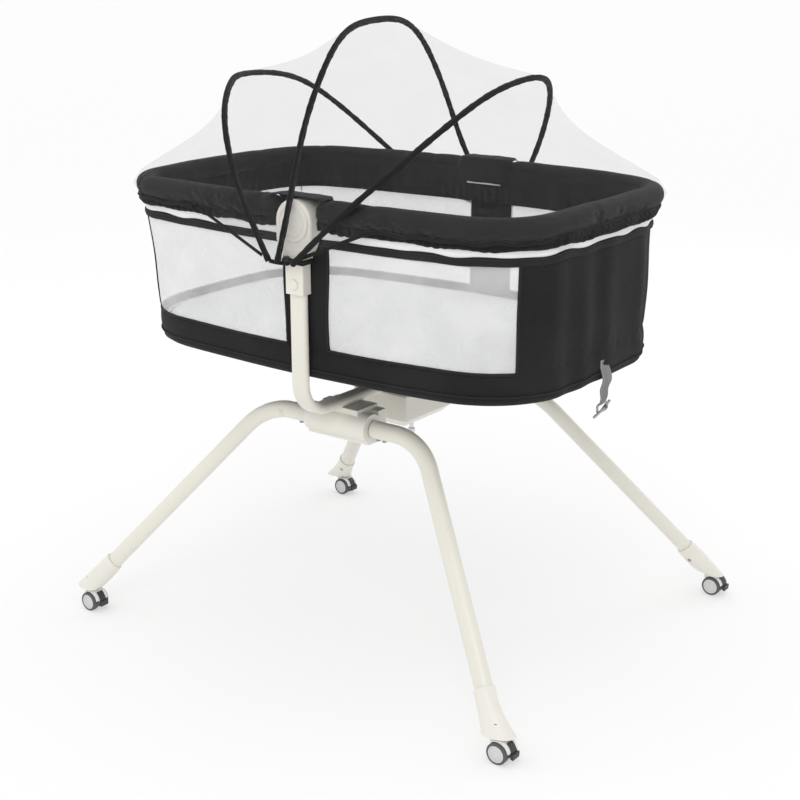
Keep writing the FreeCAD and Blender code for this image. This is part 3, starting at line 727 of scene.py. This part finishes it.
def build_bands():
    """From the windows up: a black hem, a white tape, and the gathered skirt under the roll."""
    marks = np.linspace(0, 4, 640, endpoint=False)
    wave = ripple(marks, 5, 9, 40, 21)
    at_ends = np.clip(abs(np.sin(marks * math.pi / 2)) * 1.4 - 0.45, 0, 1)

    lift = 0.0014 * at_ends * wave
    rows = [wall_point(marks, z + lift, np.full_like(marks, out) + 0.0008 * wave)
            for z, out in ((0.7520, 0.0002), (0.7535, 0.0026), (0.7590, 0.0038), (0.7645, 0.0030),
                           (0.7668, 0.0008))]
    hem = band("top_hem", rows, M["hem"], thickness=0.0008)

    rows = [wall_point(marks, z + 0.0008 * wave, np.full_like(marks, out))
            for z, out in ((0.7650, 0.0011), (0.7690, 0.0016), (0.7760, 0.0016), (0.7830, 0.0012))]
    trim = band("white_trim", rows, M["trim"], slot="mattress_cover", thickness=0.0006)

    fine = ripple(marks, 8, 70, 170, 31)
    slow = ripple(marks + 0.3, 6, 8, 34, 33)
    rows = []
    profile = ((0.8020, 0.004, 0), (0.7955, 0.009, 0.5), (0.7905, 0.0125, 1), (0.7865, 0.0090, 1.2),
               (0.7835, 0.0105, 1.2), (0.7805, 0.0085, 1.4), (0.7785, 0.0040, 1.4))
    for z, out, rough in profile:
        gathers = rough * (0.0011 * fine + 0.0014 * slow * (0.4 + at_ends))
        swell = out * (0.62 + 0.52 * at_ends) + gathers
        drop = -0.0022 * at_ends * rough / 1.4 + 0.0012 * rough * slow
        rows.append(wall_point(marks, z + drop, swell))
    skirt = band("rim_skirt", rows, M["skirt"], outward=False, thickness=SHEET)

    profile = ((0.8160, 0.0228, 0), (0.8040, 0.0222, 0.2), (0.7920, 0.0205, 0.4),
               (0.7780, 0.0175, 0.8), (0.7640, 0.0145, 1), (0.7480, 0.0120, 1))
    rows = []
    for z, inward, rough in profile:
        out = -inward + rough * (0.0011 * fine + 0.0012 * slow)
        rows.append(wall_point(marks, np.full_like(marks, z), out))
    lining = band("inner_lining", rows, M["skirt"], thickness=SHEET)


# ---- padded pieces
CLOTH_FRAMES = 20


def puff(piece, voxel, cap, pressure, grow, pins=None):
    """Swells a closed shape as stuffed cloth, moving no point further than the cap."""
    m = piece.modifiers.new("even", "REMESH")
    m.mode, m.voxel_size = "VOXEL", voxel
    settle(piece)
    mesh = piece.data
    start = points_of(mesh)
    group = None
    if pins is not None:
        group = piece.vertex_groups.new(name="sewn")
        for index, weight in enumerate(pins(start)):
            if weight > 0:
                group.add([index], float(weight), "REPLACE")
    soft = piece.modifiers.new("cloth", "CLOTH")
    s = soft.settings
    s.quality, s.mass = 4, 0.3
    s.tension_stiffness = s.compression_stiffness = 12
    s.shear_stiffness, s.bending_stiffness = 4, 0.15
    s.use_pressure, s.uniform_pressure_force = True, pressure
    s.shrink_min = -grow
    s.effector_weights.gravity = 0
    if group:
        s.vertex_group_mass = "sewn"
    soft.collision_settings.use_collision = False
    soft.point_cache.frame_start, soft.point_cache.frame_end = 1, CLOTH_FRAMES
    scene = bpy.context.scene
    scene.frame_start, scene.frame_end = 1, CLOTH_FRAMES
    for step in range(1, CLOTH_FRAMES + 1):
        scene.frame_set(step)
    graph = bpy.context.evaluated_depsgraph_get()
    final = piece.evaluated_get(graph).to_mesh()
    moved = points_of(final)
    piece.evaluated_get(graph).to_mesh_clear()
    piece.modifiers.clear()
    scene.frame_set(1)
    shift = moved - start
    length = np.linalg.norm(shift, axis=1, keepdims=True)
    shift *= np.minimum(1.0, cap / np.maximum(length, 1e-9))
    put_points(mesh, start + shift)
    mesh.update()


def finish_pad(piece, material, node):
    m = piece.modifiers.new("smooth", "SUBSURF")
    m.levels = m.render_levels = 1
    settle(piece)
    piece.data.materials.clear()
    piece.data.materials.append(material)
    for p in piece.data.polygons:
        p.use_smooth = True
    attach(piece, "basket")
    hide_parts(node)


def build_roll(end):
    """One padded U of the rim, from rim joint to rim joint, with its cross seams drawn in."""
    way = 1 if end == "foot" else -1
    low, high = [roll_line.mark_of_x(way * (JOINT_HALF + 0.001), side) for side in (-way, way)]
    marks = np.linspace(low, high, 420)
    line = raised(roll_line.at(marks), ROLL_Z)
    run = run_along(line)
    left = np.minimum(run, run[-1] - run)
    ends_in = 1 - 0.28 * np.exp(-(left / 0.006) ** 2)
    radius = (ROLL_R - 0.0014) * ends_in * (1 + 0.012 * ripple(marks, 4, 9, 30, 41 + len(end)))
    a, b = frames_along(line, False, (0, 0, 1))
    rings = []
    sides = 28
    seams = (0.30 * run[-1] - 0.02, 0.70 * run[-1] + 0.02)
    for k in range(sides):
        angle = TAU * k / sides
        uneven = 1 + 0.5 * ripple(marks, 6, 20, 90, 47)
        crease = 1 - 0.10 * bell(math.degrees(angle), 270, 16) * uneven
        below = max(0, -math.sin(angle)) ** 1.2
        pleats = 0.035 * ripple(marks + 0.35 * math.sin(angle), 7, 50, 120, 51) * below
        ring_radius = radius * (crease + pleats)
        rings.append(line + ring_radius[:, None] * (math.cos(angle) * a + math.sin(angle) * b))
    rings = np.stack(rings, 1)
    first, last = np.repeat(line[:1], sides, 0), np.repeat(line[-1:], sides, 0)
    rings = np.concatenate([first[None], rings, last[None]])
    roll = grid_piece("rim_roll_" + end, rings, M["roll"], close_v=True, body=None,
                      slot="padded_fabric")
    puff(roll, 0.0045, 0.0022, pressure=3.0, grow=0.05,
         pins=lambda p: (p[:, 2] < ROLL_Z - 0.0185) | (abs(p[:, 0]) < JOINT_HALF + 0.004))
    # cross seams pull the cover in along a narrow groove
    co = points_of(roll.data)
    near = np.argmin(((co[:, None, :2] - line[None, ::4, :2]) ** 2).sum(-1), 1) * 4
    for seam in seams:
        pull = 0.0022 * np.exp(-((run[near] - seam) / 0.0032) ** 2)
        away = co - line[near]
        co -= away / np.linalg.norm(away, axis=1, keepdims=True) * pull[:, None]
    put_points(roll.data, co)
    finish_pad(roll, M["roll"], "rim_pad_" + end)


def build_mattress():
    low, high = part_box("mattress")
    marks = np.linspace(0, 4, 320, endpoint=False)
    flat, normal = wall_low.at(marks), wall_low.normal(marks)
    mid = (low.z + high.z) / 2
    half = (high.z - low.z) / 2 - 0.0015
    layers = [(0.030, -1.0), (0.016, -0.98), (0.010, -0.8), (0.0085, -0.3), (0.0085, 0.3),
              (0.010, 0.8), (0.016, 0.98), (0.030, 1.0)]
    rings = [raised(flat - normal * (inset + 0.002), mid + lift * half) for inset, lift in layers]
    pad = band("mattress_pad", rings, M["mattress"], body=None, slot="mattress_cover")
    fill = bmesh.new()
    fill.from_mesh(pad.data)
    bmesh.ops.holes_fill(fill, edges=[e for e in fill.edges if e.is_boundary])
    bmesh.ops.recalc_face_normals(fill, faces=fill.faces)
    fill.to_mesh(pad.data)
    fill.free()
    puff(pad, 0.008, 0.0015, pressure=1.5, grow=0.02)
    co = points_of(pad.data)
    top = co[:, 2] > mid
    quilt = 0.0012 * (np.sin(co[:, 0] * TAU / 0.11) * np.sin(co[:, 1] * TAU / 0.11))
    co[top, 2] += quilt[top]
    put_points(pad.data, co)
    finish_pad(pad, M["mattress"], "mattress")
    edge = raised(flat - normal * 0.0085, mid + 0.78 * half)
    tube("mattress_piping", edge, 0.0018, M["trim"], sides=8, closed=True, slot="mattress_cover")


# ---- insect net
def spline(points, count):
    """A smooth line through the points, with natural ends."""
    p = np.asarray(points, float)
    n = len(p)
    run = run_along(p)
    gap = np.diff(run)
    system, right = np.eye(n), np.zeros_like(p)
    for i in range(1, n - 1):
        system[i, i - 1:i + 2] = gap[i - 1], 2 * (gap[i - 1] + gap[i]), gap[i]
        right[i] = 6 * ((p[i + 1] - p[i]) / gap[i] - (p[i] - p[i - 1]) / gap[i - 1])
    bend = np.linalg.solve(system, right)
    at = np.linspace(0, run[-1], count)
    k = np.clip(np.searchsorted(run, at, "right") - 1, 0, n - 2)
    h = gap[k][:, None]
    a, b = (run[k + 1] - at)[:, None], (at - run[k])[:, None]
    return (bend[k] * a ** 3 + bend[k + 1] * b ** 3) / (6 * h) \
        + (p[k] / h - bend[k] * h / 6) * a + (p[k + 1] / h - bend[k + 1] * h / 6) * b


def hoop_line(name, count, lift=0.0):
    """Points along a hoop, moved out from the fan axis by the lift."""
    line = spline(HOOPS[name], count)
    along = unit_rows(np.gradient(line, axis=0))
    out = line - (FAN_X, 0, FAN_Z)
    out -= along * (along * out).sum(1)[:, None]
    return line + unit_rows(out) * lift


def hem_lines(end, count):
    """The net's lower edge on an end: over the roll's top, its side, and the tape below it."""
    foot = end == "foot"
    tie_x = {"foot": 0.150, "head": -0.232}[end]
    start_u = roll_line.mark_of_x(tie_x, -1 if foot else 1)
    stop_u = roll_line.mark_of_x(tie_x, 1 if foot else -1)
    share = np.linspace(0, 1, count)
    ramp = 0.14
    u = start_u + (stop_u - start_u) * np.clip((share - ramp) / (1 - 2 * ramp), 0, 1)
    if not foot:
        u = u[::-1]
    rise = np.clip(np.minimum(share, 1 - share) / ramp, 0, 1)[:, None]
    side_y = np.where(share < 0.5, -1, 1)
    start_x = FAN_X + (0.022 if foot else -0.030)
    starts = raised(np.stack([np.full(count, start_x), side_y * (FAN_Y - 0.003)], 1), FAN_Z + 0.002)

    def beside_roll(where, angle, gap):
        turn = math.radians(angle)
        flat = roll_line.at(where) + roll_line.normal(where) * (ROLL_R + gap) * math.cos(turn)
        return raised(flat, ROLL_Z + (ROLL_R + gap) * math.sin(turn))

    slack = 0.0014 * ripple(u, 6, 20, 70, 61)
    tape = beside_roll(u, -52, 0.0040) + np.stack([0 * slack, 0 * slack, slack], 1)
    tape = starts * (1 - rise) + tape * rise
    near_arm = np.array([roll_line.mark_of_x(x, s) for x, s in zip(tape[:, 0], side_y)])
    over = np.where(rise[:, 0] < 1, near_arm, u)
    hoop = hoop_line(end, count, NET_LIFT)
    lifted = ease(np.clip((hoop[:, 2] - 0.800) / 0.05, 0, 1)[:, None])
    top = (hoop * 0.6 + tape * 0.4) * (1 - lifted) + beside_roll(over, 62, NET_LIFT) * lifted
    side = (hoop * 0.3 + tape * 0.7) * (1 - lifted) + beside_roll(over, 5, NET_LIFT) * lifted
    return top, side, tape


def net_sheet(node, rows):
    """A net panel, named after the node that it replaces."""
    piece = grid_piece(node.replace("panel", "sheet"), np.stack(rows, 1), M["net"], body=None,
                       slot="insect_net")
    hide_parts(node)
    return piece


def between(a, b, count, sag, power=1.0):
    """Rows from line a to line b, drawn in towards the middle of the bed between them."""
    rows = []
    heart = np.array([FAN_X, 0.0, 0.80])
    for t in np.linspace(0, 1, count):
        row = a * (1 - t) + b * t
        inward = heart - row
        inward[:, 1] *= 0.5
        size = np.linalg.norm(inward, axis=1, keepdims=True)
        amount = sag * math.sin(math.pi * t ** power) * np.clip(size / 0.3, 0, 1) ** 2
        rows.append(row + inward / np.maximum(size, 1e-6) * amount)
    return rows


def fan_share(co, first, last):
    """How far round the fan each point is, 0 at the first hoop line and 1 at the last."""
    def angle(p):
        return np.arctan2(p[:, 0] - FAN_X, np.maximum(p[:, 2] - FAN_Z, 1e-4))
    here = angle(co)
    n = len(first)
    row = np.arange(len(co)) // (len(co) // n)
    a, b = angle(first)[row], angle(last)[row]
    share = (here - a) / np.where(abs(b - a) < 1e-3, 1e-3, b - a)
    return np.clip(share, 0, 1)


def spread_fan(piece, first, last):
    """Bakes a net panel's placement into its points and works out how far round the fan each point
    is.
    """
    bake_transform(piece)
    share = fan_share(points_of(piece.data), first, last)


def build_net():
    count = 97
    lines = {name: hoop_line(name, count, NET_LIFT) for name in HOOPS}
    bodies = {"head": "net_head", "middle": "net_middle", "foot": "basket"}
    for name, body in bodies.items():
        core = hoop_line(name, 181)
        t = np.arange(181)
        radius = SLEEVE_R * (1 + 0.05 * np.sin(t * 1.9) + 0.05 * np.sin(t * 0.77 + 1)
                             + 0.03 * np.sin(t * 3.1))
        sleeve = sleeve_tube("hoop_sleeve_" + name, core, radius, sides=12, body=body)
        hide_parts("net_hoop_" + name)
        seam = hoop_line(name, 121, SLEEVE_R)
        sleeve_tube("hoop_seam_" + name, seam[2:-2], 0.0011, sides=6, body=body)

    panels = [("net_panel_head", "head", "middle", "net_head", "net_middle"),
              ("net_panel_foot", "middle", "foot", "net_middle", "basket")]
    for node, first, last, body_a, body_b in panels:
        rows = between(lines[first], lines[last], 15, 0.016)
        piece = net_sheet(node, rows)
        spread_fan(piece, lines[first], lines[last])

    for end in ("head", "foot"):
        top, side, tape = hem_lines(end, count)
        rows = between(lines[end], top, 15, 0.030, 0.8) + [side, tape]
        node = "net_panel_%s_end" % end
        piece = net_sheet(node, rows)
        edge = sleeve_tube("net_hem_" + end, tape[1:-1], 0.0034, sides=8, up=(0, 0, 1), flat=0.45,
                           body="basket" if end == "foot" else "net_head_edge")
        if end == "foot":
            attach(piece, "basket")
        else:
            spread_fan(piece, lines[end], tape)

    knot_at = hem_lines("head", count)[2][14]
    turns = np.linspace(0, TAU * 2.5, 60)
    knot = np.stack([0.0052 * np.cos(turns), 0.0016 * np.sin(turns * 1.7),
                     0.0048 * np.sin(turns)], 1)
    sleeve_tube("hem_knot", knot + knot_at, 0.0020, sides=7, body="net_head_edge")


def build_joint_covers():
    """The fabric that carries the roll's cover over the top and inside of each rim joint."""
    for row, middle in (("front", 4.0), ("rear", 2.0)):
        side = -1 if row == "front" else 1
        reach = abs(roll_line.mark_of_x(0.058, side) - (0.0 if row == "front" else 2.0))
        marks = np.linspace(middle - reach, middle + reach, 41)
        swell = ease(np.clip((1 - abs(np.linspace(-1, 1, 41))) * 4.6, 0, 1))
        rows = []
        for angle in range(55, 256, 10):
            turn = math.radians(angle)
            square = max(abs(math.cos(turn)), abs(math.sin(turn))) ** (-0.85 * swell)
            creases = 0.0005 * ripple(marks * 9 + angle, 4, 2, 9, 71)
            out = (ROLL_R + 0.0006 + 0.0026 * swell) * square + creases
            flat = roll_line.at(marks) + roll_line.normal(marks) * (out * math.cos(turn))[:, None]
            rows.append(raised(flat, (ROLL_Z + out * math.sin(turn))[:, None]))
        cover = grid_piece("joint_cover_" + row, np.stack(rows, 1), M["roll"],
                           slot="padded_fabric", thickness=SHEET)


def build_collars():
    """The tape that ties the hoops' ends round the neck of each rim joint."""
    for row, side in (("front", -1), ("rear", 1)):
        angle = np.linspace(0, TAU, 72, endpoint=False)
        half_w, half_d, power = 0.0212, 0.0146, 0.45
        x = half_w * np.copysign(abs(np.cos(angle)) ** power, np.cos(angle))
        y = half_d * np.copysign(abs(np.sin(angle)) ** power, np.sin(angle)) + side * COLLAR_Y
        line = np.stack([x, y, COLLAR_Z + 0.0008 * np.sin(3 * angle)], 1)
        away = line - (0, side * COLLAR_Y, 0)
        away[:, 2] = 0
        away = unit_rows(away)
        rows = [line + away * out + (0, 0, dz) for out, dz in
                ((0.0, -0.0045), (0.0012, -0.0038), (0.0016, 0), (0.0012, 0.0038), (0.0, 0.0045))]
        band("collar_tape_" + row, rows, M["binding"], slot="hoop_sleeve", thickness=0.0008)
        loop = [(FAN_X - 0.021, 0.331, 0.7285), (FAN_X - 0.010, 0.3255, 0.7262),
                (FAN_X + 0.004, 0.3215, 0.7255), (FAN_X + 0.015, 0.327, 0.7275)]
        loop = smooth_line([(x, side * y, z) for x, y, z in loop], 40)
        sleeve_tube("collar_loop_" + row, loop, 0.0036, sides=8, up=(0, 0, 1))


# ---- tether
def build_tether():
    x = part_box("tether_strap")[0].x
    path = smooth_line([(x + 0.0006, 0, 0.5600), (x + 0.0012, 0, 0.5500),
                        (x + 0.0050, 0.001, 0.5380), (x + 0.0075, 0.002, 0.5240),
                        (x + 0.0030, 0.001, 0.5080), (x + 0.0040, 0.000, 0.4930),
                        (x + 0.0010, 0.0, 0.4820)], 60)
    half_width = 0.0125
    twist = np.radians(8 * np.sin(np.linspace(0, 4, 60)))
    rows = []
    for v in np.linspace(-half_width, half_width, 9):
        crown = 0.0009 * (1 - (v / half_width) ** 2)
        rows.append(path + np.stack([v * np.sin(twist) + crown, v * np.cos(twist), 0 * twist], 1))
    strap = grid_piece("tether_webbing", np.stack(rows, 1), M["webbing"], body="tether",
                       slot="webbing", thickness=0.0016)
    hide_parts("tether_strap")
    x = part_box("tether_hook")[0].x + 0.003
    corners = [(-0.017, 0.482), (0.017, 0.482), (0.017, 0.468), (-0.017, 0.468)]
    loop = []
    for k in range(4):
        (y0, z0), (y1, z1) = corners[k], corners[(k + 1) % 4]
        for t in np.linspace(0.16, 0.84, 12):
            loop.append((x, y0 + (y1 - y0) * t, z0 + (z1 - z0) * t))
    buckle = tube("tether_buckle", np.array(loop), 0.0021, M["dull_metal"], sides=10, closed=True,
                  body="tether", slot="chrome", up=(1, 0, 0))
    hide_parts("tether_hook")
    bar = smooth_line([(x + 0.001, -0.030, 0.4640), (x + 0.003, -0.018, 0.4685), (x, 0.0, 0.4700),
                       (x - 0.003, 0.016, 0.4725), (x - 0.002, 0.030, 0.4790)], 40)
    tube("tether_bar", bar, 0.0023, M["dull_metal"], sides=10, body="tether", slot="chrome")


# ---- wheel caps
def lathe(profile, sides=48):
    """Rings about the Y axis from (radius, y) pairs."""
    rings = []
    for k in range(sides):
        angle = TAU * k / sides
        rings.append([(r * math.cos(angle), y, r * math.sin(angle)) for r, y in profile])
    return np.array(rings)


def build_wheel_caps():
    disc_half = 0.0170
    profile = [(0.0113, 0.0), (0.0113, 0.0006), (0.0108, 0.0011), (0.0096, 0.0013),
               (0.0093, 0.0007), (0.0087, 0.0007), (0.0084, 0.0014), (0.0062, 0.0017),
               (0.0059, 0.0010), (0.0053, 0.0010), (0.0050, 0.0018), (0.0030, 0.0020),
               (0.0027, 0.0013), (0.0014, 0.0012), (0.0, 0.0012)]
    for row, end in CORNERS:
        low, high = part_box("caster_%s_%s_wheel" % (row, end))
        middle = (low + high) / 2
        for side, tag in ((-1, "a"), (1, "b")):
            rings = lathe([(r, side * (disc_half + y)) for r, y in profile])
            rings = rings + np.array(middle)
            grid_piece("wheel_cap_%s_%s_%s" % (row, end, tag), rings, M["grey_plastic"],
                       close_u=True, outward=side > 0, slot="disc_plastic",
                       body="caster_%s_%s_wheels" % (row, end))


build_wall()
build_windows()
build_roll("foot")
build_roll("head")
build_bands()
build_joint_covers()
build_mattress()
build_net()
build_collars()
build_tether()
build_wheel_caps()
